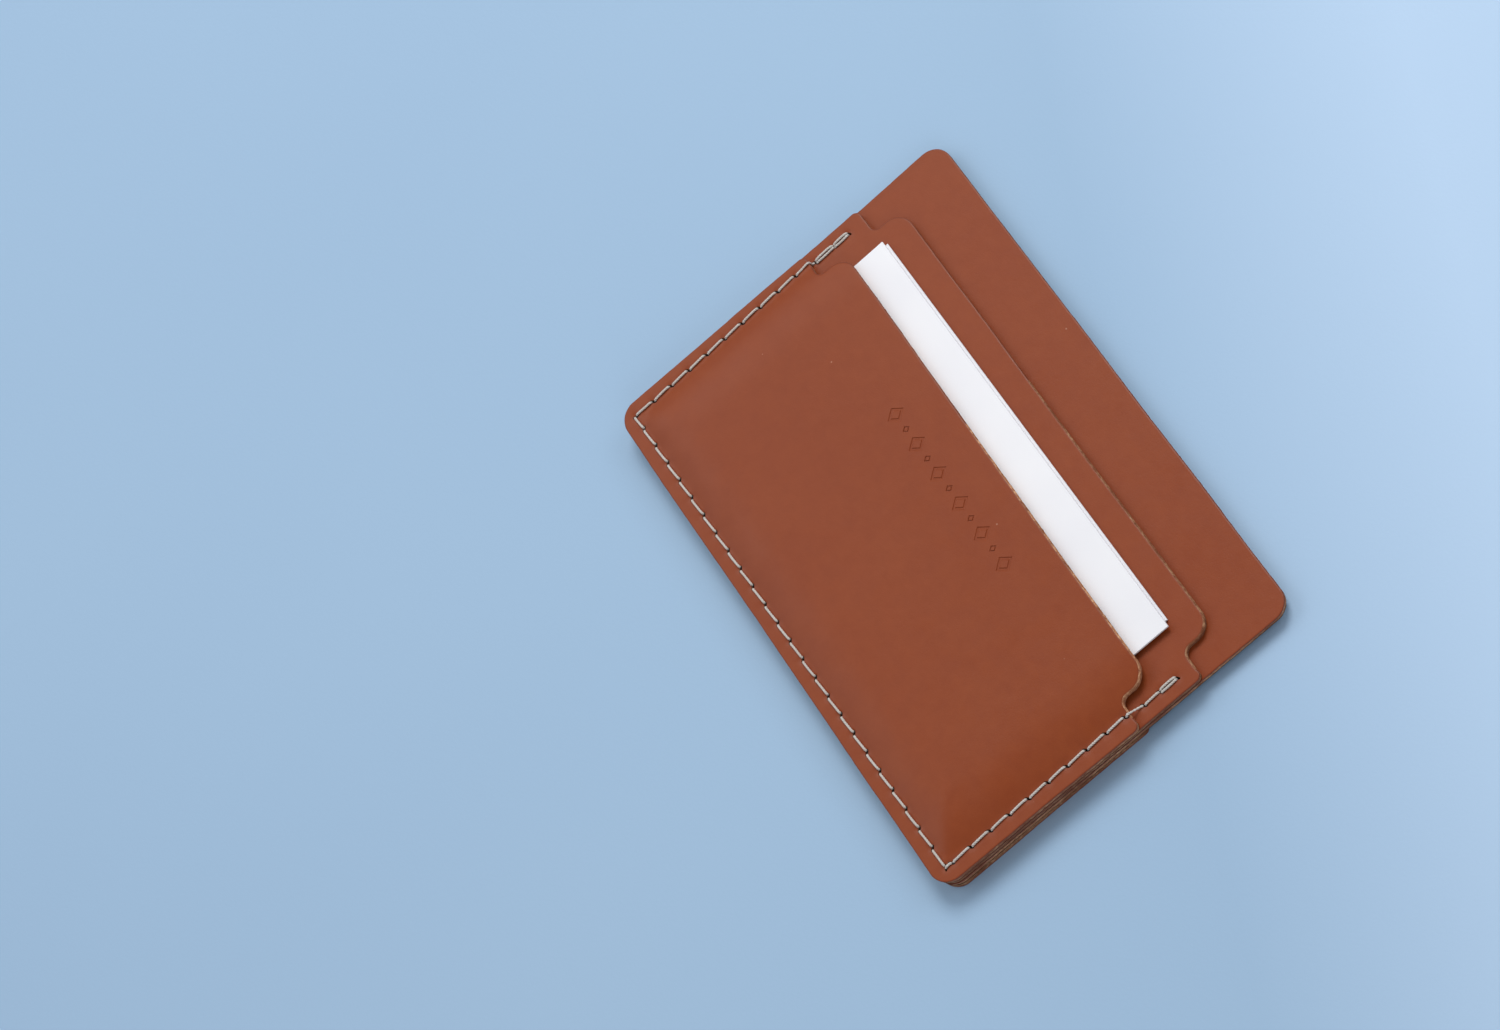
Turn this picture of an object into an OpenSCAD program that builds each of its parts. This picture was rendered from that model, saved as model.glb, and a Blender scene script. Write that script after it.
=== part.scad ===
// Sewn leather card holder: four panels, a two-thread seam and two loose cards.
// It lies on its rear face. +X runs along the closed bottom edge, +Y from that edge
// towards the open mouths, +Z through the thickness. All sizes are in millimetres.

/* [Panels] */
// Width of the holder
holder_w = 104; // [100:1:112]
// Height of the back panel, the tallest one
holder_h = 71; // [69:1:78]
// Thickness of each leather panel
leather_t = 1.2; // [1:0.1:1.6]
// Radius of the outer corners
corner_r = 3.5; // [2:0.5:5]

/* [Pockets] */
// Height of the front and rear pockets at their mouths
low_mouth_h = 47; // [45:1:49]
// Height of the middle pocket at its mouth
high_mouth_h = 59.2; // [58:0.2:62]
// How far the sewn tab at each side lies below the mouth
tab_drop = 6; // [5:0.5:7]
// Width of the sewn tab at each side
tab_w = 5.4; // [5:0.1:6]
// Radius of the shoulder at each end of a mouth
shoulder_r = 3.5; // [2:0.5:4]
// Radius at the foot of the notch
notch_r = 1.4; // [0.8:0.2:2]
// Radius of the tab's outer corner
tab_r = 1.2; // [0.6:0.2:2]

/* [Seam] */
// Distance of the seam from the edge
seam_inset = 2.6; // [2.4:0.1:2.8]
// Height at which both ends of the seam stop
seam_end_h = 49.8; // [49.4:0.1:51]
// Length of a full stitch
stitch_l = 4; // [3.9:0.1:4.1]
// Length of the small stitch that turns the right corner
corner_stitch_l = 1.2; // [1:0.1:1.4]
// Thickness of the thread
thread_d = 0.5; // [0.4:0.05:0.5]
// Width of a stitch slit, across its length
slit_w = 0.6; // [0.6:0.05:0.7]
// Length of a stitch slit
slit_l = 1.5; // [1.4:0.05:1.6]

/* [Cards] */
// Width of the front card
card_w = 85.6; // [84:0.2:86]
// Height of both cards
card_h = 46; // [42:0.5:47]
// Thickness of a card
card_t = 0.45; // [0.3:0.05:0.6]
// How much narrower the rear card is
rear_card_less_w = 1.8; // [0:0.2:4]
// How much higher the rear card sits
rear_card_up = 0.4; // [0:0.1:1]
// Free space above and below each card
card_gap = 0.15; // [0.1:0.05:0.2]

/* [Hidden] */
$fn = 48;

leather_colour = [0.58, 0.31, 0.22];
thread_colour = [0.86, 0.84, 0.80];
card_colour = [0.95, 0.95, 0.97];

touch = 0.02;   // gap between two pieces that bear on each other
past = 1;       // how far a cutter reaches past what it cuts

// Levels through the thickness, from the rear face up
back_z = leather_t;
middle_z = 2 * leather_t;
front_z = 3 * leather_t;
rim_top_z = 4 * leather_t;
card_space = 2 * card_t + 3 * card_gap;

// The front pocket rises from its flat sewn rim to a level field over the cards
side_ramp_l = 3.3;                              // ramp at each side, along X
side_ramp_x = holder_w / 2 - tab_w + 0.6;       // where that ramp leaves the rim
side_ramp_in = 0.3;                             // its underside starts this far inside
foot_ramp_l = 4.4;                              // ramp at the bottom, along Y
foot_ramp_y = seam_inset + 0.5;
foot_ramp_in = 0.2;

// Where the cards rest
card_foot_y = foot_ramp_y + foot_ramp_in + foot_ramp_l + 0.1;
front_card_x = -0.5;
rear_card_x = -0.8;

// Seam: the left and right sides stop at the same height, the bottom joins them
seam_x = holder_w / 2 - seam_inset;
bottom_full = floor(2 * seam_x / stitch_l);
left_full = 11;
left_last = 1;
right_full = 9;
right_last = 3;
left_tacked = 2;     // doubled stitches that lock the seam's left end
right_tacked = 1;    // and its right end

leg_at = 0.4;                                 // thread legs stand this far from a slit's middle
slit_turn = 45;                               // slits are cut across the seam at this angle
groove_d = thread_d + 0.1;                    // the rear thread lies sunk in this groove
groove_w = 1.5;
low_tab_y = low_mouth_h - tab_drop;           // the thread steps over this edge

// Heights of the slits on one side: full stitches first, then equal short ones to the end
function side_heights(from, full, last) =
    let (top = from + full * stitch_l, rest = (seam_end_h - top) / last)
    concat([for (i = [0:full]) from + i * stitch_l], [for (i = [1:last]) top + i * rest]);

left_heights = side_heights(seam_inset, left_full, left_last);
right_heights = side_heights(seam_inset + corner_stitch_l, right_full, right_last);
slits = concat(
    [for (i = [len(left_heights) - 1:-1:0]) [-seam_x, left_heights[i]]],
    [for (i = [bottom_full:-1:0]) [seam_x - i * stitch_l, seam_inset]],
    [for (y = right_heights) [seam_x, y]]
);
last_slit = len(slits) - 1;

// Direction in degrees in which the seam runs through a slit
function heading(i) = let (a = slits[max(i - 1, 0)], b = slits[min(i + 1, last_slit)])
    atan2(b[1] - a[1], b[0] - a[0]);
function slit_angle(i) = heading(i) - slit_turn;
// Point where the thread enters (side -1) or leaves (side 1) a slit
function leg_point(i, side) = slits[i] + side * leg_at * [cos(slit_angle(i)), sin(slit_angle(i))];

// Moves the drawing from the bottom edge to the origin at the middle of the rear face
module placed() { translate([0, -holder_h / 2, 0]) children(); }

// Rectangle standing on Y = 0 with its own radius for the lower and the upper corners
module round_plate(w, h, foot_r, head_r) {
    union() {
        translate([-w / 2, foot_r]) square([w, h - foot_r - head_r]);
        translate([-w / 2 + foot_r, 0]) square([w - 2 * foot_r, foot_r + 0.01]);
        translate([-w / 2 + head_r, h - head_r - 0.01]) square([w - 2 * head_r, head_r + 0.01]);
        for (s = [-1, 1]) {
            translate([s * (w / 2 - foot_r), foot_r]) circle(foot_r);
            translate([s * (w / 2 - head_r), h - head_r]) circle(head_r);
        }
    }
}

// Pocket outline: a mouth between two shoulders, with a lower sewn tab at each side
module pocket_outline(mouth_h) {
    tab_y = mouth_h - tab_drop;
    mouth_w = holder_w - 2 * tab_w;
    union() {
        round_plate(holder_w, tab_y, corner_r, tab_r);
        translate([0, corner_r]) round_plate(mouth_w, mouth_h - corner_r, 0.5, shoulder_r);
        for (s = [-1, 1]) notch_foot(s, s * mouth_w / 2, tab_y);
    }
}

// Concave corner where the notch meets the tab
module notch_foot(s, x, y) {
    difference() {
        translate([s > 0 ? x - 0.1 : x - notch_r, y - 0.1]) square([notch_r + 0.1, notch_r + 0.1]);
        translate([x + s * notch_r, y + notch_r]) circle(notch_r);
    }
}

// A slit through the whole stack
module slit(i) {
    translate([slits[i][0], slits[i][1], -past]) rotate([0, 0, slit_angle(i)])
        translate([-slit_l / 2, -slit_w / 2, 0]) cube([slit_l, slit_w, rim_top_z + 2 * past]);
}

// All slits that lie below a given height
module slits_below(h) {
    for (i = [0:last_slit]) if (slits[i][1] < h) slit(i);
}

// Flat sewn panel with its slits
module flat_panel(z, slit_h) {
    difference() {
        translate([0, 0, z]) linear_extrude(leather_t) children();
        slits_below(slit_h);
    }
}

// Groove on the rear face in which the rear thread lies
module rear_groove() {
    translate([-seam_x - groove_w / 2, seam_inset - groove_w / 2, -past])
        cube([2 * seam_x + groove_w, groove_w, groove_d + past]);
    for (s = [-1, 1])
        translate([s * seam_x - groove_w / 2, seam_inset, -past])
            cube([groove_w, low_mouth_h, groove_d + past]);
}

// Ridge that is as wide and as long as the raised field, for the skin (0) or the hollow below it
module raised_field(in_x, in_y, z, low) {
    x0 = side_ramp_x - in_x;
    y0 = foot_ramp_y + in_y;
    top = z + card_space;
    length = holder_h + 2 * past;
    intersection() {
        rotate([90, 0, 0]) translate([0, 0, -length]) linear_extrude(length)
            polygon([[-x0, low], [-x0, z], [-x0 + side_ramp_l, top],
                     [x0 - side_ramp_l, top], [x0, z], [x0, low]]);
        rotate([90, 0, 90]) translate([0, 0, -holder_w / 2]) linear_extrude(holder_w)
            polygon([[y0, low], [y0, z], [y0 + foot_ramp_l, top],
                     [holder_h, top], [holder_h, low]]);
    }
}

module rear_pocket() {
    color(leather_colour) placed() difference() {
        flat_panel(0, low_tab_y) pocket_outline(low_mouth_h);
        rear_groove();
    }
}

module back_panel() {
    color(leather_colour) placed()
        flat_panel(back_z, holder_h) round_plate(holder_w, holder_h, corner_r, corner_r);
}

module middle_pocket() {
    color(leather_colour) placed()
        flat_panel(middle_z, high_mouth_h) pocket_outline(high_mouth_h);
}

module front_pocket() {
    color(leather_colour) placed() difference() {
        union() {
            translate([0, 0, front_z]) linear_extrude(leather_t) pocket_outline(low_mouth_h);
            intersection() {
                translate([0, 0, front_z]) linear_extrude(leather_t + card_space)
                    pocket_outline(low_mouth_h);
                raised_field(0, 0, rim_top_z, front_z);
            }
        }
        raised_field(side_ramp_in, foot_ramp_in, front_z, front_z - past);
        slits_below(low_tab_y);
    }
}

// Straight piece of thread between two points, with its underside at z
module run(a, b, z) {
    d = b - a;
    translate([a[0], a[1], z]) rotate([0, 0, atan2(d[1], d[0])])
        translate([-thread_d / 2, -thread_d / 2, 0]) cube([norm(d) + thread_d, thread_d, thread_d]);
}

// Stitch from slit i to the next one, which steps down where the pocket's tab ends
module stitch(i, high_z, low_z, shift) {
    a = leg_point(i, 1) + shift;
    b = leg_point(i + 1, -1) + shift;
    a_low = a[1] > low_tab_y;
    b_low = b[1] > low_tab_y;
    if (a_low == b_low) {
        run(a, b, a_low ? low_z : high_z);
    } else {
        step = [a[0], low_tab_y + thread_d / 2 + 0.1];
        run(a, step, a_low ? low_z : high_z);
        run(step, b, b_low ? low_z : high_z);
        translate([step[0] - thread_d / 2, step[1] - thread_d / 2, min(high_z, low_z)])
            cube([thread_d, thread_d, abs(high_z - low_z) + thread_d]);
    }
}

// One thread: stitches on one face, two legs in each slit and a turn where they lock
module thread(high_z, low_z, lock_z) {
    side_step = [thread_d / 2 + 0.05, 0];
    for (i = [0:last_slit - 1]) {
        tacked = i < left_tacked || i >= last_slit - right_tacked;
        if (tacked) for (s = [-1, 1]) stitch(i, high_z, low_z, s * side_step);
        if (tacked) for (at = [[i, 1], [i + 1, -1]]) {
            p = leg_point(at[0], at[1]);
            run(p - side_step, p + side_step, p[1] > low_tab_y ? low_z : high_z);
        }
        if (!tacked) stitch(i, high_z, low_z, [0, 0]);
    }
    for (i = [0:last_slit]) {
        z = slits[i][1] > low_tab_y ? low_z : high_z;
        foot = min(z, lock_z);
        translate([slits[i][0], slits[i][1], 0]) rotate([0, 0, slit_angle(i)]) {
            for (s = [-1, 1])
                translate([s * leg_at - thread_d / 2, -thread_d / 2, foot])
                    cube([thread_d, thread_d, abs(z - lock_z) + thread_d]);
            translate([-leg_at, -thread_d / 2, lock_z]) cube([2 * leg_at, thread_d, thread_d]);
        }
    }
}

// The front thread lies on the front pocket, then on the middle pocket
module needle_thread() {
    color(thread_colour) placed()
        thread(rim_top_z + touch, front_z + touch, middle_z + touch);
}

// The rear thread lies in the rear pocket's groove, then on the back panel's rear face
module bobbin_thread() {
    color(thread_colour) placed()
        thread(groove_d - thread_d - touch, back_z - thread_d - touch, middle_z - thread_d - touch);
}

module card(x, up, w, z) {
    color(card_colour) placed()
        translate([x - w / 2, card_foot_y + up, z]) cube([w, card_h, card_t]);
}

module card_rear() {
    card(rear_card_x, rear_card_up, card_w - rear_card_less_w, front_z + card_gap);
}

module card_front() {
    card(front_card_x, 0, card_w, front_z + card_t + 2 * card_gap);
}

rear_pocket();
back_panel();
middle_pocket();
front_pocket();
needle_thread();
bobbin_thread();
card_rear();
card_front();
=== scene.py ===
import math
import random

import bpy
import numpy as np
from mathutils import Matrix, Vector, geometry, noise


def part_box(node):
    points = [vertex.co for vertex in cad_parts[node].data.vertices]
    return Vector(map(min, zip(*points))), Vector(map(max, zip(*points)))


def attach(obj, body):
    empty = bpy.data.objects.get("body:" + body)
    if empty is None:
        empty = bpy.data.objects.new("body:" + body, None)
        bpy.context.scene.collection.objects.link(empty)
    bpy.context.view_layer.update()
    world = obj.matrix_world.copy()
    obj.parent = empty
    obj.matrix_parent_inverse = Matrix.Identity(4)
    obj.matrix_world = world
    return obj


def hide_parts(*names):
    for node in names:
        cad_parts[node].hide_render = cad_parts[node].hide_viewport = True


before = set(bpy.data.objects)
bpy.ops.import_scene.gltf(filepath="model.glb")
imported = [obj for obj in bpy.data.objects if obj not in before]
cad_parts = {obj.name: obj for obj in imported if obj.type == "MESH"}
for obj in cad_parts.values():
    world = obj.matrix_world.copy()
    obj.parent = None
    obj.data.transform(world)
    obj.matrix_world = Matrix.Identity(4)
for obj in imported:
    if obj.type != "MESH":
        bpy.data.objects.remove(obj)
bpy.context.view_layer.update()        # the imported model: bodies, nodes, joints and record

# ---------------------------------------------------------------------------
# Sizes, in millimetres. Y is measured from the frame's origin, like X and Z.
# ---------------------------------------------------------------------------
MM = 0.001


def box_mm(node):
    lo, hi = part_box(node)
    return lo / MM, hi / MM


BACK_LO, BACK_HI = box_mm("back_panel")
REAR_LO, REAR_HI = box_mm("rear_pocket")
MIDDLE_LO, MIDDLE_HI = box_mm("middle_pocket")
FRONT_LO, FRONT_HI = box_mm("front_pocket")

HALF_W = BACK_HI.x
FOOT = BACK_LO.y                         # the closed bottom edge
HEAD = BACK_HI.y
LEATHER = BACK_HI.z - BACK_LO.z
LOW_MOUTH = FRONT_HI.y
HIGH_MOUTH = MIDDLE_HI.y
CARD_RISE = FRONT_HI.z - FRONT_LO.z - LEATHER

CORNER_R = 3.5
TAB_DROP = 6.0
TAB_W = 5.4
SHOULDER_R = 3.5
NOTCH_R = 1.4
TAB_R = 1.2
LOW_TAB = LOW_MOUTH - TAB_DROP

# Seam, laid out as in the CAD part
SEAM_INSET = 2.6
SEAM_X = HALF_W - SEAM_INSET
SEAM_Y = FOOT + SEAM_INSET
SEAM_END = FOOT + 49.8
STITCH = 4.0
CORNER_STITCH = 1.2
LEFT_TACKED = 2                          # doubled stitches at the seam's left end
RIGHT_TACKED = 1                         # and at its right end
THREAD_R = 0.21
GROOVE_DEPTH = 0.6
GROOVE_HALF_W = 0.75

# Cut slits as they look once the thread has closed them
SLIT_HALF_L = 0.66
SLIT_HALF_W = 0.25
SLIT_TURN = math.radians(-45)
LEG_TURN = math.radians(-17)             # direction, from the seam's, in which the thread leaves a slit
LEG_AT = 0.38                            # and its distance from the slit's middle there
SLIT_SIDES = 12                          # points round a slit's mouth

# Width of the sloping cut along a panel's rim
OUTER_CUT = 0.08                         # at the outer edges, where the finish wraps over
MOUTH_CUT = 0.27                         # round the mouths, at its widest
HEAD_CUT = 0.16                          # at the back panel's upper edge, at its widest
RAW_CUT = 0.19                           # a slope wider than this shows raw fibres

# How far hand work has moved each pocket's left and right ends from the pattern, (x, y):
# its tabs, notches and shoulders. The foot's corners stay put.
FRONT_ENDS = ((0.80, 0.85), (0.35, -0.2))
MIDDLE_ENDS = ((0.30, 0.2), (0.1, 0.0))
REAR_ENDS = ((0.1, -0.2), (-0.1, 0.3))


def seam_heights(first, full, last):
    """Heights of one side's slits: full stitches, then equal shorter ones up to the end."""
    top = first + full * STITCH
    rest = (SEAM_END - top) / last
    return [first + i * STITCH for i in range(full + 1)] + [top + i * rest for i in range(1, last + 1)]


def seam_slits():
    """Slit centres from the left end, down, along the bottom and up to the right end."""
    left = seam_heights(SEAM_Y, 11, 1)
    right = seam_heights(SEAM_Y + CORNER_STITCH, 9, 3)
    bottom = [SEAM_X - i * STITCH for i in range(int(2 * SEAM_X // STITCH), -1, -1)]
    return (
        [Vector((-SEAM_X, y)) for y in reversed(left)]
        + [Vector((x, SEAM_Y)) for x in bottom]
        + [Vector((SEAM_X, y)) for y in right]
    )


SLITS = seam_slits()


def seam_direction(i, turn):
    """Unit vector along the seam at slit i, turned by an angle."""
    run = SLITS[min(i + 1, len(SLITS) - 1)] - SLITS[max(i - 1, 0)]
    angle = math.atan2(run.y, run.x) + turn
    return Vector((math.cos(angle), math.sin(angle)))


SLIT_DIRS = [seam_direction(i, SLIT_TURN) for i in range(len(SLITS))]
LEG_DIRS = [seam_direction(i, LEG_TURN) for i in range(len(SLITS))]


# ---------------------------------------------------------------------------
# Small helpers
# ---------------------------------------------------------------------------
def smooth(t):
    t = min(max(t, 0.0), 1.0)
    return t * t * (3 - 2 * t)


def wander(x, y, size, seed):
    """Smooth noise from -1 to 1 whose features are about size millimetres wide."""
    return noise.noise(Vector((x / size + seed * 17.3, y / size - seed * 9.1, seed * 3.7)))


def make_piece(name, verts, faces, slots, materials, body, smooth_angle=35):
    """Mesh object from vertices in millimetres, riding on a CAD body."""
    mesh = bpy.data.meshes.new(name)
    mesh.from_pydata([(x * MM, y * MM, z * MM) for x, y, z in verts], [], faces)
    for m in materials:
        mesh.materials.append(m)
    mesh.polygons.foreach_set("material_index", slots)
    mesh.validate()
    mesh.shade_smooth()
    mesh.set_sharp_from_angle(angle=math.radians(smooth_angle))
    piece = bpy.data.objects.new(name, mesh)
    bpy.context.scene.collection.objects.link(piece)
    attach(piece, body)
    return piece


def add_attribute(piece, name, values):
    """Stores one number per vertex, which the materials read by its name."""
    piece.data.attributes.new(name, "FLOAT", "POINT").data.foreach_set("value", values)


# ---------------------------------------------------------------------------
# Materials
# ---------------------------------------------------------------------------
class Nodes:
    """Short way to build a node tree around one Principled shader."""

    def __init__(self, name):
        self.material = bpy.data.materials.new(name)
        self.material.use_nodes = True
        self.tree = self.material.node_tree
        self.shader = self.tree.nodes["Principled BSDF"]
        self.place = self.add("ShaderNodeTexCoord").outputs["Object"]

    def add(self, kind, **settings):
        node = self.tree.nodes.new(kind)
        for key, value in settings.items():
            setattr(node, key, value)
        return node

    def link(self, source, target):
        self.tree.links.new(source, target)

    def set(self, **values):
        for key, value in values.items():
            self.shader.inputs[key.replace("_", " ")].default_value = value

    def noise(self, size_mm, detail=3.0, roughness=0.5, stretch=(1, 1, 1)):
        node = self.add("ShaderNodeTexNoise")
        node.inputs["Scale"].default_value = 1000.0 / size_mm
        node.inputs["Detail"].default_value = detail
        node.inputs["Roughness"].default_value = roughness
        self.link(self.stretched(stretch), node.inputs["Vector"])
        return node.outputs["Fac"]

    def cells(self, size_mm):
        """Distance from the middle of cells about size_mm wide."""
        node = self.add("ShaderNodeTexVoronoi")
        node.inputs["Scale"].default_value = 1000.0 / size_mm
        self.link(self.place, node.inputs["Vector"])
        return node.outputs["Distance"]

    def stretched(self, stretch):
        if stretch == (1, 1, 1):
            return self.place
        node = self.add("ShaderNodeMapping")
        node.inputs["Scale"].default_value = stretch
        self.link(self.place, node.inputs["Vector"])
        return node.outputs["Vector"]

    def ramp(self, source, stops):
        """Maps a factor to greys or colours; stops are (position, value or colour)."""
        node = self.add("ShaderNodeValToRGB")
        elements = node.color_ramp.elements
        while len(elements) < len(stops):
            elements.new(0.5)
        for element, (position, value) in zip(elements, stops):
            element.position = position
            element.color = (value, value, value, 1) if isinstance(value, float) else (*value, 1)
        self.link(source, node.inputs["Fac"])
        return node.outputs["Color"]

    def mix(self, factor, a, b):
        """Colour a with b mixed in by factor; each of the three is a socket or a constant."""
        node = self.add("ShaderNodeMix", data_type="RGBA")
        first, second = [socket for socket in node.inputs if socket.type == "RGBA"]
        for socket, value in ((node.inputs["Factor"], factor), (first, a), (second, b)):
            if isinstance(value, bpy.types.NodeSocket):
                self.link(value, socket)
            else:
                socket.default_value = value if isinstance(value, float) else (*value, 1)
        return next(socket for socket in node.outputs if socket.type == "RGBA")

    def maths(self, operation, a, b):
        node = self.add("ShaderNodeMath", operation=operation)
        for socket, value in zip(node.inputs, (a, b)):
            if isinstance(value, bpy.types.NodeSocket):
                self.link(value, socket)
            else:
                socket.default_value = value
        return node.outputs["Value"]

    def attribute(self, name):
        return self.add("ShaderNodeAttribute", attribute_name=name).outputs["Fac"]

    def bump(self, *layers):
        """Chains bump layers given as (height socket, height in millimetres)."""
        normal = None
        for height, depth_mm in layers:
            node = self.add("ShaderNodeBump")
            node.inputs["Strength"].default_value = 1.0
            node.inputs["Distance"].default_value = depth_mm * MM
            self.link(height, node.inputs["Height"])
            if normal is not None:
                self.link(normal, node.inputs["Normal"])
            normal = node.outputs["Normal"]
        self.link(normal, self.shader.inputs["Normal"])


TERRACOTTA = (0.260, 0.049, 0.0100)
TERRACOTTA_DEEP = (0.209, 0.034, 0.0070)
TERRACOTTA_LIGHT = (0.286, 0.060, 0.0138)
BURNISHED_AND_SHADE = (0.135, 0.027, 0.0100)       # the burnished finish along a cut edge, darkened further as painted shade
PRESSED = (0.190, 0.044, 0.020)          # the finish where a thread pulls it down
DUST = (0.62, 0.36, 0.25)
SMEARED = (0.170, 0.048, 0.022)          # finish smeared over a raw edge
NAP_SHADE = (0.110, 0.050, 0.030)        # between the flesh side's fibres
THREAD_DIRT = (0.46, 0.36, 0.30)
THREAD_SLIT_SHADE = (0.030, 0.020, 0.016)      # painted shade on a thread inside its slit
CARD_SHADE = (0.72, 0.72, 0.76)
FLOOR_PAINTED_LIGHT = (0.490, 0.655, 0.860)      # painted light on the floor beyond the object's mouth end
FLOOR_RISE = (3.6, 8.6, 0)               # direction in which the floor's painted light grows, per metre


def grain_leather():
    """Smooth finished side: terracotta with slow tone changes, fine pores and a soft gloss."""
    n = Nodes("leather_grain")
    cloud = n.ramp(n.noise(26, 2.0), [(0.35, 0.0), (0.7, 1.0)])
    mottle = n.ramp(n.noise(2.4, 5.0, 0.6), [(0.3, 0.0), (0.75, 1.0)])
    speck = n.ramp(n.cells(6.5), [(0.016, 1.0), (0.030, 0.0)])
    colour = n.mix(n.maths("MULTIPLY", cloud, 0.45), TERRACOTTA, TERRACOTTA_LIGHT)
    colour = n.mix(n.maths("MULTIPLY", mottle, 0.40), colour, TERRACOTTA_DEEP)
    colour = n.mix(n.maths("MULTIPLY", speck, 0.40), colour, DUST)
    # Darker along the cut edges: partly the burnished finish, partly painted shade on the edge's slope
    colour = n.mix(n.maths("MULTIPLY", n.attribute("edge"), 0.75), colour, BURNISHED_AND_SHADE)
    colour = n.mix(n.maths("MULTIPLY", n.attribute("press"), 0.35), colour, PRESSED)
    n.link(colour, n.shader.inputs["Base Color"])
    gloss = n.ramp(n.noise(5.0, 4.0), [(0.3, 0.37), (0.75, 0.47)])
    n.link(gloss, n.shader.inputs["Roughness"])
    waves = n.noise(3.2, 3.0)
    creases = n.noise(1.1, 2.0)
    pores = n.ramp(n.cells(0.34), [(0.0, 0.0), (0.45, 1.0)])
    tooth = n.noise(0.16, 3.0, 0.6)
    n.bump((waves, 0.045), (creases, 0.008), (pores, 0.007), (tooth, 0.004))
    n.set(Specular_IOR_Level=0.30, Coat_Weight=0.08, Coat_Roughness=0.25)
    return n.material


def core_leather(name, tone):
    """Raw cut edge: brown fibres in thin layers, with the finish smeared over it in places."""
    n = Nodes(name)
    fibres = n.noise(0.36, 6.0, 0.7, stretch=(0.5, 0.5, 1.5))
    shades = ((0.30, (0.095, 0.030, 0.015)), (0.48, (0.285, 0.122, 0.062)), (0.70, (0.540, 0.325, 0.185)))
    colour = n.ramp(fibres, [(at, tuple(c * tone for c in rgb)) for at, rgb in shades])
    patch = n.ramp(n.noise(5.0, 3.0, 0.6), [(0.45, 0.0), (0.60, 1.0)])
    colour = n.mix(n.maths("MULTIPLY", patch, 0.65), colour, SMEARED)
    n.link(colour, n.shader.inputs["Base Color"])
    n.bump((fibres, 0.05), (n.noise(0.09, 3.0), 0.015))
    n.set(Roughness=0.92, Specular_IOR_Level=0.12)
    return n.material


def flesh_leather():
    """Suede-like inner side of the leather."""
    n = Nodes("leather_flesh")
    nap = n.noise(0.22, 5.0, 0.7)
    cloud = n.noise(7.0, 4.0, 0.6)
    colour = n.ramp(cloud, [(0.3, (0.150, 0.072, 0.044)), (0.7, (0.215, 0.112, 0.070))])
    colour = n.mix(n.maths("MULTIPLY", nap, 0.5), colour, NAP_SHADE)
    n.link(colour, n.shader.inputs["Base Color"])
    n.bump((n.noise(1.3, 4.0), 0.05), (nap, 0.05))
    n.set(Roughness=0.95, Specular_IOR_Level=0.2, Sheen_Weight=0.25, Sheen_Roughness=0.6)
    return n.material


def thread_material():
    """Pale waxed thread."""
    n = Nodes("waxed_thread")
    fluff = n.noise(0.12, 4.0, 0.7)
    shades = [(0.25, (0.40, 0.37, 0.33)), (0.6, (0.68, 0.65, 0.61)), (0.85, (0.80, 0.78, 0.75))]
    colour = n.ramp(fluff, shades)
    dirt = n.ramp(n.noise(6.0, 2.0), [(0.4, 0.0), (0.75, 1.0)])
    colour = n.mix(n.maths("MULTIPLY", dirt, 0.25), colour, THREAD_DIRT)
    # Painted shade: the thread turns near black where it goes down into a slit
    colour = n.mix(n.attribute("sunk"), colour, THREAD_SLIT_SHADE)
    n.link(colour, n.shader.inputs["Base Color"])
    n.bump((fluff, 0.02))
    n.set(Roughness=0.55, Specular_IOR_Level=0.4, Sheen_Weight=0.2, Sheen_Roughness=0.5)
    return n.material


def card_material():
    """Uncoated white card with a faint paper tooth."""
    n = Nodes("white_card")
    tooth = n.noise(0.25, 5.0, 0.65)
    colour = n.ramp(n.noise(14.0, 3.0), [(0.3, (0.855, 0.855, 0.895)), (0.7, (0.895, 0.895, 0.925))])
    colour = n.mix(n.maths("MULTIPLY", tooth, 0.06), colour, CARD_SHADE)
    n.link(colour, n.shader.inputs["Base Color"])
    n.bump((tooth, 0.006), (n.noise(9.0, 2.0), 0.02))
    n.set(Roughness=0.62, Specular_IOR_Level=0.3)
    return n.material


def floor_material():
    """Plain pale blue paper, with painted light that makes it a little lighter beyond the object's mouth
    end.
    """
    n = Nodes("pale_floor")
    tooth = n.noise(0.6, 4.0, 0.6)
    colour = n.ramp(n.noise(180.0, 2.0), [(0.3, (0.345, 0.502, 0.690)), (0.7, (0.365, 0.525, 0.710))])
    # Painted light: the floor grows lighter along FLOOR_RISE
    dot = n.add("ShaderNodeVectorMath", operation="DOT_PRODUCT")
    n.link(n.place, dot.inputs[0])
    dot.inputs[1].default_value = FLOOR_RISE
    painted_light = n.ramp(dot.outputs["Value"], [(0.30, 0.0), (0.85, 1.0)])
    colour = n.mix(painted_light, colour, FLOOR_PAINTED_LIGHT)
    n.link(colour, n.shader.inputs["Base Color"])
    n.bump((tooth, 0.02))
    n.set(Roughness=0.8, Specular_IOR_Level=0.25)
    return n.material


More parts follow.
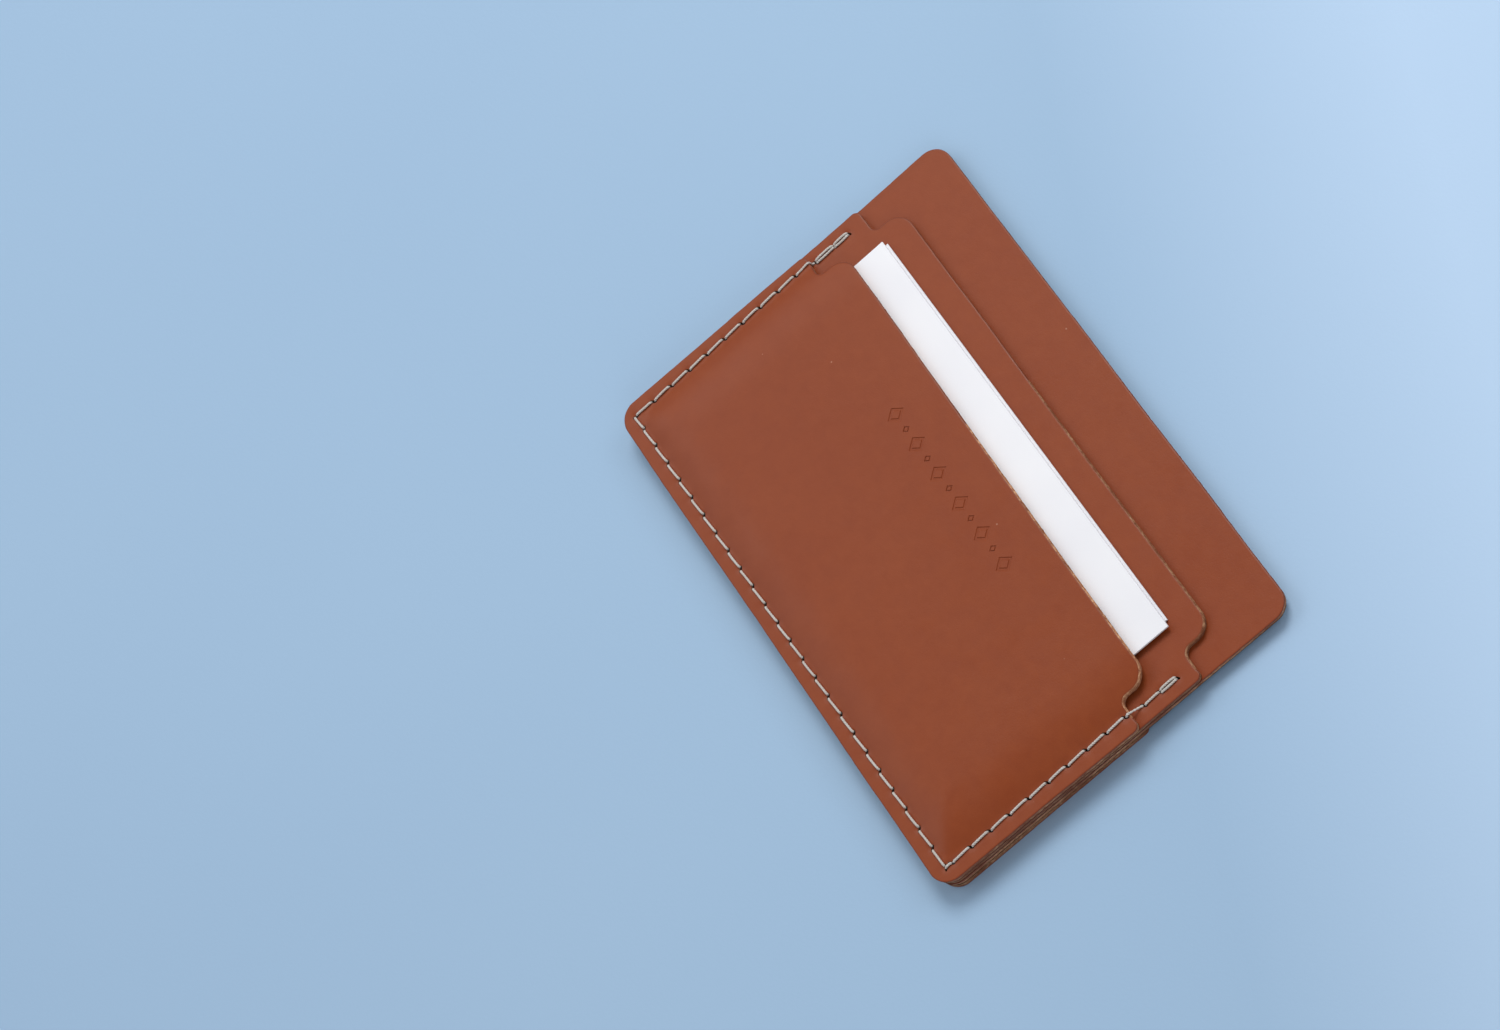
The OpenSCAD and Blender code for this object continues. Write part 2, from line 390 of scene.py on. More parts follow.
# ---------------------------------------------------------------------------
# Outlines
# ---------------------------------------------------------------------------
def rounded_outline(corners, step=0.45, arc_step=0.28):
    """Closed counter-clockwise outline through corners (x, y, radius), rounded and evenly divided."""
    points = []
    count = len(corners)
    arcs = []
    for i, (x, y, r) in enumerate(corners):
        here = Vector((x, y))
        to_last = (Vector(corners[i - 1][:2]) - here).normalized()
        to_next = (Vector(corners[(i + 1) % count][:2]) - here).normalized()
        half = to_last.angle(to_next) / 2
        centre = here + (to_last + to_next).normalized() * (r / math.sin(half))
        first = here + to_last * (r / math.tan(half)) - centre
        last = here + to_next * (r / math.tan(half)) - centre
        turn = math.atan2(first.cross(last), first.dot(last))
        steps = max(3, math.ceil(abs(turn) * r / arc_step))
        start = math.atan2(first.y, first.x)
        angles = [start + turn * k / steps for k in range(steps + 1)]
        arcs.append([centre + r * Vector((math.cos(a), math.sin(a))) for a in angles])
    for i, arc in enumerate(arcs):
        points += arc
        gap = arcs[(i + 1) % count][0] - arc[-1]
        pieces = max(1, round(gap.length / step))
        points += [arc[-1] + gap * (k / pieces) for k in range(1, pieces)]
    return points


def plate_corners():
    return [(side_x, side_y, CORNER_R)
            for side_x, side_y in ((-HALF_W, FOOT), (HALF_W, FOOT), (HALF_W, HEAD), (-HALF_W, HEAD))]


def pocket_corners(mouth, ends):
    """Corners of a pocket: foot, tabs, notches and shoulders. ends moves all but the foot's."""
    (left_x, left_y), (right_x, right_y) = ends
    tab = mouth - TAB_DROP
    inner = HALF_W - TAB_W
    return [
        (-HALF_W, FOOT, CORNER_R), (HALF_W, FOOT, CORNER_R),
        (HALF_W + right_x, tab + right_y, TAB_R), (inner + right_x, tab + right_y, NOTCH_R),
        (inner + right_x, mouth + right_y, SHOULDER_R), (left_x - inner, mouth + left_y, SHOULDER_R),
        (left_x - inner, tab + left_y, NOTCH_R), (left_x - HALF_W, tab + left_y, TAB_R),
    ]


def outline_normals(points):
    """Outward unit normals of a counter-clockwise outline."""
    count = len(points)
    normals = []
    for i in range(count):
        along = (points[(i + 1) % count] - points[i - 1]).normalized()
        normals.append(Vector((along.y, -along.x)))
    return normals


def cut_by_hand(points, seed):
    """Adds the slight waviness of a hand-cut edge: slow drift and small nicks."""
    drift, nick = 0.10, 0.035
    return [p + n * (drift * wander(p.x, p.y, 16.0, seed) + nick * wander(p.x, p.y, 1.6, seed + 1))
            for p, n in zip(points, outline_normals(points))]


def cut_slope(p, widest):
    """Width of the sloping cut at a point of the rim: widest round the mouths and on the right."""
    mouth = smooth((HALF_W - 0.8 - abs(p.x)) / 1.0) * smooth((p.y - FOOT - 10) / 4)
    worn = 0.25 + 0.75 * smooth((p.x + 25) / 40)
    return OUTER_CUT + (widest - OUTER_CUT) * mouth * worn


def slit_ring(i):
    """Lens-shaped mouth of a slit."""
    along = SLIT_DIRS[i]
    across = Vector((-along.y, along.x))
    angles = [2 * math.pi * k / SLIT_SIDES for k in range(SLIT_SIDES)]
    return [SLITS[i] + along * (SLIT_HALF_L * math.cos(a)) + across * (SLIT_HALF_W * math.sin(a))
            for a in angles]


# ---------------------------------------------------------------------------
# Blind-pressed ornament on the front pocket: a plain row of outlined lozenges
# ---------------------------------------------------------------------------
ORNAMENT_Y = FOOT + 38.9
ORNAMENT_PITCH = 3.3
ORNAMENT_COUNT = 11
ORNAMENT_DEPTH = 0.13
LARGE_LOZENGE = (1.45, 1.75)             # half width, half height
SMALL_LOZENGE = (0.62, 0.75)
# Rings of one lozenge as shares of its size, with the share of the full depth at each
ORNAMENT_STEPS = ((1.0, 0.0), (0.90, 1.0), (0.66, 1.0), (0.56, 0.0))


def lozenges():
    """(centre x, half width, half height) of each lozenge, large and small by turns."""
    first = -ORNAMENT_PITCH * (ORNAMENT_COUNT - 1) / 2
    return [(first + i * ORNAMENT_PITCH, *(LARGE_LOZENGE if i % 2 == 0 else SMALL_LOZENGE))
            for i in range(ORNAMENT_COUNT)]


def ornament_press(x, y):
    """Depth of the ornament at a point."""
    for cx, a, b in lozenges():
        reach = abs(x - cx) / a + abs(y - ORNAMENT_Y) / b
        for (outer, deep_out), (inner, deep_in) in zip(ORNAMENT_STEPS, ORNAMENT_STEPS[1:]):
            if inner <= reach <= outer:
                return ORNAMENT_DEPTH * (deep_in + (deep_out - deep_in) * (reach - inner) / (outer - inner))
    return 0.0


def ornament_rings():
    """Rings of points along which the ornament's depth changes its slope."""
    rings = []
    for cx, a, b in lozenges():
        for share, _ in ORNAMENT_STEPS:
            corners = [Vector((cx + a * share * x, ORNAMENT_Y + b * share * y))
                       for x, y in ((1, 0), (0, 1), (-1, 0), (0, -1))]
            ring = []
            for corner, following in zip(corners, corners[1:] + corners[:1]):
                ring += [corner.lerp(following, s / 4) for s in range(4)]
            rings.append(ring)
    return rings


# ---------------------------------------------------------------------------
# Surface heights
# ---------------------------------------------------------------------------
BULGE = CARD_RISE + 0.12                 # height of the leather over the cards
BULGE_SIDE = (SEAM_X - 0.8, 38.0)        # |x| where it starts and where it is level
BULGE_FOOT = (SEAM_Y + 0.7, FOOT + 12)   # y where it starts and where it is level
BULGE_EASE = 2.6                         # how fast the rise flattens out
SLIT_PULL = 0.17                         # depth to which a stitch pulls the leather down at a slit
STITCH_PULL = 0.07                       # and along its length


def card_bulge(x, y):
    """How far the front pocket is lifted by the cards below it: steep at the seam, then level."""
    side = (abs(x) - BULGE_SIDE[1]) / (BULGE_SIDE[0] - BULGE_SIDE[1])
    foot = (BULGE_FOOT[1] - y) / (BULGE_FOOT[1] - BULGE_FOOT[0])
    side, foot = (min(max(t, 0.0), 1.0) ** BULGE_EASE for t in (side, foot))
    return BULGE * (1 - min(1.0, (side ** 4 + foot ** 4) ** 0.25))


def seam_press(x, y, low, high):
    """Depth to which the stitches pull the leather down, for slits between two heights."""
    reach, slit_width, stitch_width = 2.6, 0.71, 0.45
    here = Vector((x, y))
    depth = 0.0
    for p, following in zip(SLITS, SLITS[1:] + [None]):
        if not low <= p.y < high or abs(p.x - x) > reach or abs(p.y - y) > reach:
            continue
        depth = max(depth, SLIT_PULL * math.exp(-((here - p).length / slit_width) ** 2))
        if following is not None:
            run = following - p
            t = min(max((here - p).dot(run) / run.length_squared, 0), 1)
            off = (here - p - run * t).length
            depth = max(depth, STITCH_PULL * math.exp(-(off / stitch_width) ** 2))
    return depth


def near_seam(x, y):
    """Distance from the three-sided seam line, which runs a little past its end slits."""
    past, far = 0.8, 9.0
    side = math.hypot(abs(x) - SEAM_X, max(0.0, y - SEAM_END - past)) if y > SEAM_Y - past else far
    foot = abs(y - SEAM_Y) if abs(x) < SEAM_X + past else far
    return min(side, foot)


# ---------------------------------------------------------------------------
# Leather panels
# ---------------------------------------------------------------------------
COARSE_STEP, COARSE_JITTER = 1.15, 0.12  # grid of points over a panel, and how far they stray
FINE_STEP, FINE_JITTER = 0.36, 0.04      # the same for the band along the seam
FINE_PAST = 2                            # how far the fine grid goes on past the seam's end
FINE_HALF_W, COARSE_FROM = 1.35, 1.7     # distances from the seam where the one ends, the other starts
FINE_BELOW, COARSE_BELOW = 1.5, 1.8      # the same below the lowest part of the seam that shows
RIM_GAP, SLIT_GAP, CREASE_GAP = 0.30, 0.20, 0.28     # points stay this far from each kind of ring
GUARD_INSET = 0.22                       # ring of points inside the rim that keeps triangles even
FLESH_INSET = 0.13                       # how far the rim turns in at the flesh side
RAGGED = 0.07                            # how far the raw fibres stand in and out


def inside(ring, xs, ys):
    """Even-odd test of many points against a closed ring."""
    result = np.zeros(len(xs), bool)
    for a, b in zip(ring, ring[1:] + ring[:1]):
        crosses = (a.y > ys) != (b.y > ys)
        if crosses.any():
            at = a.x + (ys - a.y) * (b.x - a.x) / (b.y - a.y if b.y != a.y else 1e-9)
            result ^= crosses & (xs < at)
    return result


def clear_of(rings, xs, ys, gap):
    """True where a point is further than gap from every ring point."""
    keep = np.ones(len(xs), bool)
    for ring in rings:
        for p in ring:
            keep &= (xs - p.x) ** 2 + (ys - p.y) ** 2 > gap * gap
    return keep


def grid_points(spacing, top, jitter, rng):
    """Slightly disturbed grid over the panel from its foot up to a height."""
    xs = np.arange(-HALF_W - 1, HALF_W + 1, spacing)
    ys = np.arange(FOOT, top, spacing)
    grid = np.stack(np.meshgrid(xs, ys), -1).reshape(-1, 2)
    return grid + rng.uniform(-jitter, jitter, grid.shape)


def fill_points(outline, holes, creases, fine_low, seed):
    """Interior points: even over the panel, dense along the part of the seam that shows."""
    rng = np.random.default_rng(seed)
    coarse = grid_points(COARSE_STEP, HEAD, COARSE_JITTER, rng)
    fine = grid_points(FINE_STEP, SEAM_END + FINE_PAST, FINE_JITTER, rng)
    in_band = np.array([near_seam(x, y) < FINE_HALF_W and y > fine_low - FINE_BELOW for x, y in fine])
    off_band = np.array([near_seam(x, y) > COARSE_FROM or y < fine_low - COARSE_BELOW for x, y in coarse])
    xs, ys = np.concatenate([fine[in_band], coarse[off_band]]).T
    keep = inside(outline, xs, ys) & clear_of([outline], xs, ys, RIM_GAP)
    keep &= clear_of(holes, xs, ys, SLIT_GAP) & clear_of(creases, xs, ys, CREASE_GAP)
    for ring in holes:
        keep &= ~inside(ring, xs, ys)
    return [Vector(p) for p in zip(xs[keep].tolist(), ys[keep].tolist())]


def triangulated(outer, holes, creases, loose):
    """Triangles inside outer and outside holes, with edges along creases and corners at loose.

    Returns the points, the triangles, a map from each input point to its number, and the
    number of each ring's first input point.
    """
    coords, edges, starts = [], [], []
    for ring in [outer, *holes, *creases]:
        start = len(coords)
        starts.append(start)
        coords += ring
        edges += [(start + k, start + (k + 1) % len(ring)) for k in range(len(ring))]
    coords += loose
    points, _, triangles, origins, _, _ = geometry.delaunay_2d_cdt(coords, edges, [], 0, 1e-5, True)
    where = {source: index for index, sources in enumerate(origins) for source in sources}

    centres = np.array([(points[a] + points[b] + points[c]) / 3 for a, b, c in triangles])
    keep = inside(outer, centres[:, 0], centres[:, 1])
    for ring in holes:
        keep &= ~inside(ring, centres[:, 0], centres[:, 1])
    kept = []
    for (a, b, c), wanted in zip(triangles, keep):
        if wanted:
            left_turn = (points[b] - points[a]).cross(points[c] - points[a]) > 0
            kept.append((a, b, c) if left_turn else (a, c, b))
    return points, kept, where, starts


class Shell:
    """Vertices and faces of one panel, laid between the heights of its grain and flesh sides."""

    def __init__(self, grain, flesh):
        self.grain, self.flesh = grain, flesh
        self.faces_up = grain(0, FOOT + 10) > flesh(0, FOOT + 10)
        self.verts, self.edge_finish_and_shade = [], []
        self.faces, self.slots = [], []

    def add_points(self, points, depths, finish_and_shade=0.0):
        """Adds points at given depths below the grain side and returns their numbers."""
        start = len(self.verts)
        for p, depth in zip(points, depths):
            g, f = self.grain(p.x, p.y), self.flesh(p.x, p.y)
            self.verts.append((p.x, p.y, g + (f - g) * depth / LEATHER))
            self.edge_finish_and_shade.append(finish_and_shade)
        return list(range(start, start + len(points)))

    def add_face(self, loop, slot):
        self.faces.append(loop if self.faces_up else loop[::-1])
        self.slots.append(slot)


GRAIN_SLOT, CUT_SLOT, FLESH_SLOT = range(3)


def leather_panel(name, node, corners, grain, flesh, skins, seed, widest_cut, slit_span, fine_low,
                  creases=()):
    """Closed leather panel in place of a CAD node.

    grain(x, y) and flesh(x, y) give the heights of its two sides. skins are the materials of
    the grain, the cut and the flesh side. slit_span is the range of heights that has slits.
    """
    rim = cut_by_hand(rounded_outline(corners), seed)
    normals = outline_normals(rim)
    count = len(rim)
    cuts = [cut_slope(p, widest_cut) for p in rim]
    top_ring = [p - n * c for p, n, c in zip(rim, normals, cuts)]
    guard = [p - n * GUARD_INSET for p, n in zip(top_ring, normals)]
    low, high = slit_span
    holes = [slit_ring(i) for i, p in enumerate(SLITS) if low <= p.y < high]
    loose = guard + fill_points(guard, holes, creases, fine_low, seed)
    points, triangles, where, starts = triangulated(top_ring, holes, creases, loose)

    # The two sides
    shell = Shell(grain, flesh)
    used = sorted({v for t in triangles for v in t})
    sheet = [points[v] for v in used]
    top = dict(zip(used, shell.add_points(sheet, [0.0] * len(sheet))))
    bottom = dict(zip(used, shell.add_points(sheet, [LEATHER] * len(sheet))))
    for a, b, c in triangles:
        shell.add_face((top[a], top[b], top[c]), GRAIN_SLOT)
        shell.add_face((bottom[c], bottom[b], bottom[a]), FLESH_SLOT)

    # The rim: the sloping cut, then raw fibres down to the flesh side
    rings = [[top[where[i]] for i in range(count)]]
    # How strongly each rim point takes the dark edge colour: burnished finish and painted shade
    for i in rings[0]:
        shell.edge_finish_and_shade[i] = 0.5
    slope = [p - n * c * 0.4 for p, n, c in zip(rim, normals, cuts)]
    rings.append(shell.add_points(slope, [c * 0.3 for c in cuts], 0.8))
    rings.append(shell.add_points(rim, [c * 0.95 for c in cuts], 1.0))
    for k, share in enumerate((0.25, 0.5, 0.75)):
        ragged = [p + n * (RAGGED * wander(p.x * 3.1, p.y * 3.1, 0.9, seed + 5 + k) - 0.04 - 0.02 * k)
                  for p, n in zip(rim, normals)]
        rings.append(shell.add_points(ragged, [c + (0.88 * LEATHER - c) * share for c in cuts]))
    turned_in = [p - n * FLESH_INSET for p, n in zip(rim, normals)]
    rings.append(shell.add_points(turned_in, [LEATHER] * count))
    rings.append([bottom[where[i]] for i in range(count)])
    finished, last = 3, len(rings) - 2
    for k, (upper, lower) in enumerate(zip(rings, rings[1:])):
        for i in range(count):
            j = (i + 1) % count
            raw = cuts[i] > RAW_CUT or k >= finished
            slot = FLESH_SLOT if k == last else CUT_SLOT if raw else GRAIN_SLOT
            shell.add_face((upper[j], upper[i], lower[i], lower[j]), slot)

    # The walls of the slits
    for ring, start in zip(holes, starts[1:]):
        loop = [where[start + k] for k in range(len(ring))]
        for a, b in zip(loop, loop[1:] + loop[:1]):
            shell.add_face((top[a], top[b], bottom[b], bottom[a]), CUT_SLOT)

    piece = make_piece(name, shell.verts, shell.faces, shell.slots, skins, "holder")
    press = [min(1.0, seam_press(x, y, low, high) / 0.15) if near_seam(x, y) < 1.4 else 0.0
             for x, y, _ in shell.verts]
    add_attribute(piece, "edge", shell.edge_finish_and_shade)
    add_attribute(piece, "press", press)
    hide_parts(node)


# Levels of the two faces of each panel
GAP = 0.03                               # the panels' skins stay this far apart


def front_grain(x, y):
    z = FRONT_LO.z + LEATHER + card_bulge(x, y) - ornament_press(x, y) + 0.03 * wander(x, y, 22, 3)
    return z - seam_press(x, y, FOOT, LOW_TAB)


def front_flesh(x, y):
    return FRONT_LO.z + GAP + card_bulge(x, y)


def middle_grain(x, y):
    return MIDDLE_HI.z - seam_press(x, y, LOW_TAB, HEAD)


def middle_flesh(x, y):
    return MIDDLE_LO.z + GAP


def back_grain(x, y):
    return BACK_HI.z


def back_flesh(x, y):
    return BACK_LO.z + GAP + seam_press(x, y, LOW_TAB, HEAD)


def rear_grain(x, y):
    groove = GROOVE_DEPTH * smooth((GROOVE_HALF_W - near_seam(x, y)) / 0.3)
    return REAR_LO.z + max(groove, seam_press(x, y, FOOT, LOW_TAB))


def rear_flesh(x, y):
    return REAR_HI.z


# ---------------------------------------------------------------------------
# Threads
# ---------------------------------------------------------------------------
STRANDS = 3                              # twisted strands in a thread
STRAND_OFFSET = THREAD_R * 0.5           # from the thread's middle
STRAND_R = THREAD_R * 0.56
STRAND_SIDES = 6
TWIST = 1.3                              # length of thread in which a strand goes round once
PHASE_RANGE = 6.28
TACK_SHIFT = 0.25                        # how far each of two doubled stitches lies off the seam
TACKED_REACH = 0.4                       # share of LEG_AT in a doubled stitch
END_SHIFT, BOW_SHIFT = 0.8, 0.4          # shares of the shift at a stitch's ends, and more in its middle
BOW_SPREAD = 0.04
LIE = THREAD_R * 0.8                     # height of a stitch's middle over the leather
LIE_SPREAD = (-0.02, 0.03)
LOW_LIE = 0.75                           # share of that height beside the slits
BEND, BEND_SHARE = 0.26, 0.2             # where a stitch has come up: at most, and of its length
SHORT_STITCH = 1.5                       # a shorter one has a single point in its middle
STEP_CLEAR, STEP_LIFT = 0.12, 0.05       # room beside a tab's edge, and over it
LEG_TOP, LEG_LENGTH = -0.15, 0.8         # the leg inside a slit
SLIT_SHADE_FROM, SLIT_SHADE_OVER = 0.02, 0.12        # depth at which the painted shade on a thread starts, and over which it deepens


def spline(points, per_span):
    """Catmull-Rom curve through the points."""
    ext = [points[0] * 2 - points[1], *points, points[-1] * 2 - points[-2]]
    result = []
    for a, b, c, d in zip(ext, ext[1:], ext[2:], ext[3:]):
        for k in range(per_span):
            t = k / per_span
            result.append(0.5 * (2 * b + (c - a) * t + (2 * a - 5 * b + 4 * c - d) * t * t
                                 + (3 * b - a - 3 * c + d) * t ** 3))
    result.append(points[-1])
    return result


def path_frames(path):
    """(point, side, up) along a path: side and up are square to it and turn as little as they can."""
    side = Vector((0, 0, 1)).cross(path[1] - path[0])
    if side.length < 1e-6:
        side = Vector((1, 0, 0))
    result = []
    for i, p in enumerate(path):
        along = (path[min(i + 1, len(path) - 1)] - path[max(i - 1, 0)]).normalized()
        side = (side - along * side.dot(along)).normalized()
        result.append((p, side, along.cross(side)))
    return result


def sweep(path, radius, sides, verts, faces):
    """Adds a closed tube along a path."""
    start = len(verts)
    for p, side, up in path_frames(path):
        for k in range(sides):
            a = 2 * math.pi * k / sides
            verts.append(p + (side * math.cos(a) + up * math.sin(a)) * radius)
    for i in range(len(path) - 1):
        for k in range(sides):
            a, b = start + i * sides + k, start + i * sides + (k + 1) % sides
            faces.append((a, b, b + sides, a + sides))
    faces.append(tuple(start + k for k in reversed(range(sides))))
    faces.append(tuple(start + (len(path) - 1) * sides + k for k in range(sides)))


def twisted(path, phase):
    """Paths of the strands that are twisted round a centre path."""
    result = [[] for _ in range(STRANDS)]
    travelled, last = 0.0, path[0]
    for p, side, up in path_frames(path):
        travelled += (p - last).length
        last = p
        for s in range(STRANDS):
            a = phase + 2 * math.pi * (travelled / TWIST + s / STRANDS)
            result[s].append(p + (side * math.cos(a) + up * math.sin(a)) * STRAND_OFFSET)
    return result


def tab_edge(p):
    """Height at which the low pockets' tabs end on the side of a point."""
    return LOW_TAB + (FRONT_ENDS[0][1] if p.x < 0 else FRONT_ENDS[1][1])


def stitch_path(i, level, face, rng, shift):
    """Centre path of the stitch from slit i to the next: up out of one slit, over and down."""
    spacing = (SLITS[i + 1] - SLITS[i]).length
    reach = LEG_AT * (TACKED_REACH if shift else min(1.0, spacing / STITCH) ** 2)
    a = SLITS[i] + LEG_DIRS[i] * reach
    b = SLITS[i + 1] - LEG_DIRS[i + 1] * reach
    run = b - a
    across = Vector((-run.y, run.x)).normalized()
    a = a + across * shift * END_SHIFT
    b = b + across * shift * END_SHIFT
    bow = across * (shift * BOW_SHIFT + rng.uniform(-BOW_SPREAD, BOW_SPREAD))
    height = LIE + rng.uniform(*LIE_SPREAD)
    bend = min(BEND, run.length * BEND_SHARE)
    along = run.normalized()

    def at(p, z):
        return Vector((p.x, p.y, level(p) + face * z))

    middle = [at(a + along * bend + bow * 0.5, height * LOW_LIE)]
    if level(a) != level(b):
        step = (tab_edge(a) - a.y) / run.y
        raised_first = abs(level(a) - BACK_HI.z) > abs(level(b) - BACK_HI.z)
        clear = STEP_CLEAR / run.length
        edge = step - clear if raised_first else step + clear
        rest = edge * 0.5 if raised_first else (1 + edge) / 2
        for share in sorted((edge, rest)):
            middle.append(at(a + run * share + bow, height + (STEP_LIFT if share == edge else 0)))
    else:
        for share in (0.3, 0.5, 0.7) if run.length > SHORT_STITCH else (0.5,):
            middle.append(at(a + run * share + bow, height))
    middle.append(at(b - along * bend + bow * 0.5, height * LOW_LIE))
    down = Vector((0, 0, -face))
    start, end = at(a, LEG_TOP), at(b, LEG_TOP)
    return spline([start + down * LEG_LENGTH, start, *middle, end, end + down * LEG_LENGTH], 4)


def thread(name, level, face, seed, node):
    """All the stitches that show on one face, each of twisted strands."""
    rng = random.Random(seed)
    verts, faces = [], []
    last = len(SLITS) - 1
    for i in range(last):
        tacked = i < LEFT_TACKED or i >= last - RIGHT_TACKED
        shifts = (-TACK_SHIFT, TACK_SHIFT) if tacked else (0.0,)
        for shift in shifts:
            path = stitch_path(i, level, face, rng, shift)
            for strand in twisted(path, rng.uniform(0, PHASE_RANGE)):
                sweep(strand, STRAND_R, STRAND_SIDES, verts, faces)
    piece = make_piece(name, verts, faces, [0] * len(faces), [THREAD], "holder", 60)
    # Painted shade, strongest on the thread below the leather's face
    slit_shade_mask = [smooth((face * (level(v) - v.z) - SLIT_SHADE_FROM) / SLIT_SHADE_OVER) for v in verts]
    add_attribute(piece, "sunk", slit_shade_mask)
    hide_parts(node)


def front_level(p):
    return FRONT_LO.z + LEATHER if p.y < tab_edge(p) else MIDDLE_HI.z


def rear_level(p):
    return REAR_LO.z + GROOVE_DEPTH if p.y < tab_edge(p) else BACK_LO.z


# ---------------------------------------------------------------------------
# Cards
# ---------------------------------------------------------------------------
CARD_SOFT = 0.05                         # width of a card's softened edge


def card_steps(lo, hi, count):
    """Positions across a card, with an extra one beside each edge."""
    return [lo, lo + CARD_SOFT, *[lo + (hi - lo) * k / count for k in range(1, count)], hi - CARD_SOFT, hi]


def card(name, node, body, seed):
    """Square-cut card: softened edges and a surface that isn't quite flat."""
    lo, hi = box_mm(node)
    xs = card_steps(lo.x, hi.x, 48)
    ys = card_steps(lo.y, hi.y, 28)
    nx, ny = len(xs), len(ys)
    verts = []
    for level, inward in ((lo.z, CARD_SOFT), (hi.z, -CARD_SOFT)):
        for j, y in enumerate(ys):
            for i, x in enumerate(xs):
                at_edge = i in (0, nx - 1) or j in (0, ny - 1)
                wave = 0.02 * wander(x, y, 30, seed)
                verts.append((x, y, level + wave + (inward if at_edge else 0)))
    top = nx * ny
    faces = []
    for j in range(ny - 1):
        for a in range(j * nx, (j + 1) * nx - 1):
            faces.append((top + a, top + a + 1, top + a + nx + 1, top + a + nx))
            faces.append((a + nx, a + nx + 1, a + 1, a))
    rim = [*range(nx), *range(2 * nx - 1, top, nx), *range(top - 2, top - nx - 1, -1)]
    rim += range(top - 2 * nx, 0, -nx)
    faces += [(a, b, top + b, top + a) for a, b in zip(rim, rim[1:] + rim[:1])]
    piece = make_piece(name, verts, faces, [0] * len(faces), [CARD], body, 30)
    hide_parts(node)


# ---------------------------------------------------------------------------
# The object
# ---------------------------------------------------------------------------
GRAIN = grain_leather()
FLESH = flesh_leather()
# Lit and shaded copies of the raw-edge material: painted light on the edges of the back panel and front
# pocket, painted shade on the recessed edges of the middle and rear pockets
LIT_SKINS = [GRAIN, core_leather("leather_core_lit", 1.45), FLESH]
SHADED_SKINS = [GRAIN, core_leather("leather_core_shaded", 1.0), FLESH]
THREAD = thread_material()
CARD = card_material()

leather_panel(
    "rear_pocket_leather", "rear_pocket", pocket_corners(LOW_MOUTH, REAR_ENDS), rear_grain, rear_flesh,
    SHADED_SKINS, seed=11, widest_cut=MOUTH_CUT, slit_span=(FOOT, LOW_TAB), fine_low=FOOT,
)
leather_panel(
    "back_panel_leather", "back_panel", plate_corners(), back_grain, back_flesh,
    LIT_SKINS, seed=23, widest_cut=HEAD_CUT, slit_span=(FOOT, HEAD), fine_low=LOW_TAB,
)
leather_panel(
    "middle_pocket_leather", "middle_pocket", pocket_corners(HIGH_MOUTH, MIDDLE_ENDS), middle_grain,
    middle_flesh, SHADED_SKINS, seed=37, widest_cut=MOUTH_CUT, slit_span=(FOOT, HEAD), fine_low=LOW_TAB,
)
leather_panel(
    "front_pocket_leather", "front_pocket", pocket_corners(LOW_MOUTH, FRONT_ENDS), front_grain, front_flesh,
    LIT_SKINS, seed=41, widest_cut=MOUTH_CUT, slit_span=(FOOT, LOW_TAB), fine_low=FOOT,
    creases=ornament_rings(),
)

thread("needle_thread_stitches", front_level, 1, 5, "needle_thread")
thread("bobbin_thread_stitches", rear_level, -1, 8, "bobbin_thread")

card("rear_card_sheet", "card_rear", "rear_card", 3)
card("front_card_sheet", "card_front", "front_card", 7)


# ---------------------------------------------------------------------------
# Floor, light and camera
# ---------------------------------------------------------------------------
def make_floor():
    """Wide pale sheet just under the object."""
    reach, below = 1.6, 0.00005
    mesh = bpy.data.meshes.new("floor")
    corners = [(x * reach, y * reach, -below) for x, y in ((-1, -1), (1, -1), (1, 1), (-1, 1))]
    mesh.from_pydata(corners, [], [(0, 1, 2, 3)])
    mesh.materials.append(floor_material())
    floor = bpy.data.objects.new("floor", mesh)
    bpy.context.scene.collection.objects.link(floor)


WARM_WHITE = (1.0, 0.98, 0.95)
COOL_WHITE = (0.95, 0.975, 1.0)
SKY = (0.86, 0.92, 1.0, 1)
SKY_STRENGTH = 0.30


def area_light(name, place, size, power, colour, aim=(0, 0, 0)):
    """Soft rectangular light at a place, turned towards a point."""
    light = bpy.data.lights.new(name, "AREA")
    light.shape = "RECTANGLE"
    light.size, light.size_y = size
    light.energy = power
    light.color = colour
    lamp = bpy.data.objects.new(name, light)
    lamp.location = place
    lamp.rotation_euler = (Vector(aim) - Vector(place)).to_track_quat("-Z", "Y").to_euler()
    bpy.context.scene.collection.objects.link(lamp)


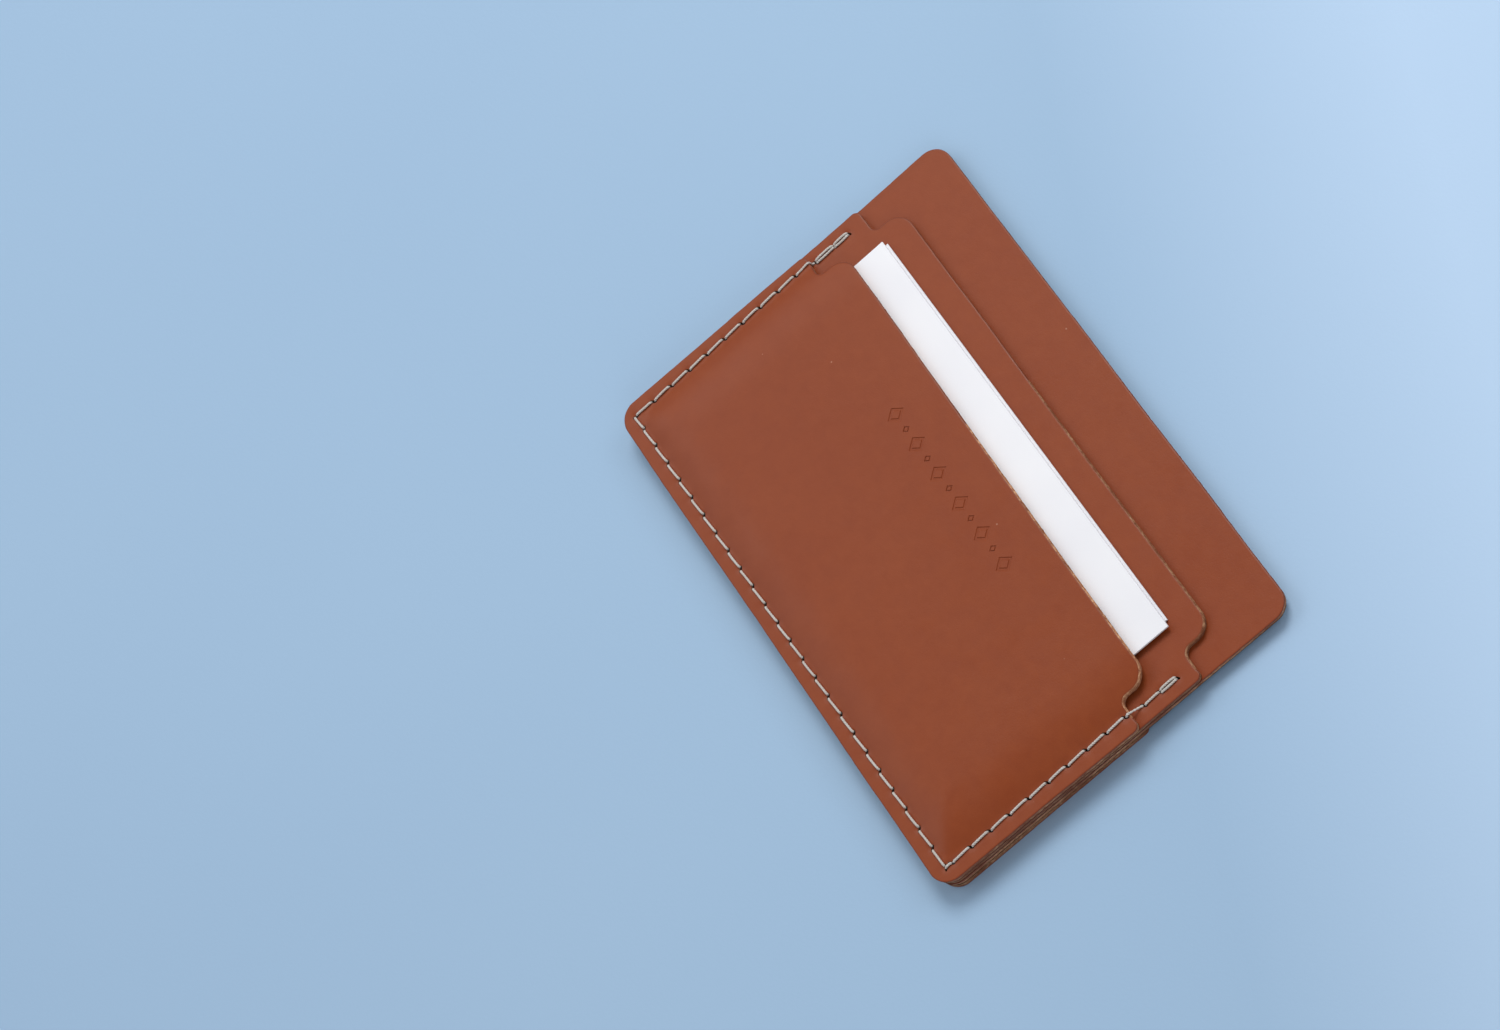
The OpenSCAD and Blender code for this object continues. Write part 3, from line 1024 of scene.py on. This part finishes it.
def make_world():
    world = bpy.data.worlds.new("studio")
    world.use_nodes = True
    background = world.node_tree.nodes["Background"]
    background.inputs["Color"].default_value = SKY
    background.inputs["Strength"].default_value = SKY_STRENGTH
    bpy.context.scene.world = world


CAMERA_AIM = Vector((-0.0236, -0.0275, 0))
CAMERA_DISTANCE = 0.7233
CAMERA_AZIMUTH = math.radians(23.57)     # from +X towards +Y
CAMERA_ELEVATION = math.radians(59.34)
CAMERA_ROLL = math.radians(-61.67)       # turn about the line of sight, from upright
CAMERA_LENS = 105.0                      # focal length, in millimetres like the sensor's width
CAMERA_SENSOR_W = 36.0


def make_camera():
    """Long lens, high above the holder's front right, rolled."""
    level = Vector((math.cos(CAMERA_AZIMUTH), math.sin(CAMERA_AZIMUTH), 0))
    back = level * math.cos(CAMERA_ELEVATION) + Vector((0, 0, math.sin(CAMERA_ELEVATION)))
    level_right = Vector((0, 0, 1)).cross(back).normalized()
    level_up = back.cross(level_right)
    right = level_right * math.cos(CAMERA_ROLL) + level_up * math.sin(CAMERA_ROLL)
    up = back.cross(right)
    data = bpy.data.cameras.new("camera")
    data.lens = CAMERA_LENS
    data.sensor_width = CAMERA_SENSOR_W
    data.clip_start, data.clip_end = 0.01, 10.0
    camera = bpy.data.objects.new("camera", data)
    turned = Matrix((right, up, back)).transposed().to_4x4()
    camera.matrix_world = Matrix.Translation(CAMERA_AIM + back * CAMERA_DISTANCE) @ turned
    bpy.context.scene.collection.objects.link(camera)
    bpy.context.scene.camera = camera


make_floor()
make_world()
area_light("key", (-0.46, 0.36, 0.78), (0.45, 0.45), 5.5, WARM_WHITE)
area_light("veil", (-0.73, -0.34, 0.78), (0.6, 0.5), 1.7, WARM_WHITE)
area_light("far", (0.05, 1.05, 0.80), (0.8, 0.5), 2.6, COOL_WHITE, (0.1, 0.35, 0))
area_light("side", (0.80, -0.10, 0.45), (0.6, 0.6), 1.3, WARM_WHITE)
area_light("near", (-0.42, -0.80, 0.62), (0.7, 0.7), 1.4, COOL_WHITE)
make_camera()
bpy.context.scene.view_settings.view_transform = "Standard"
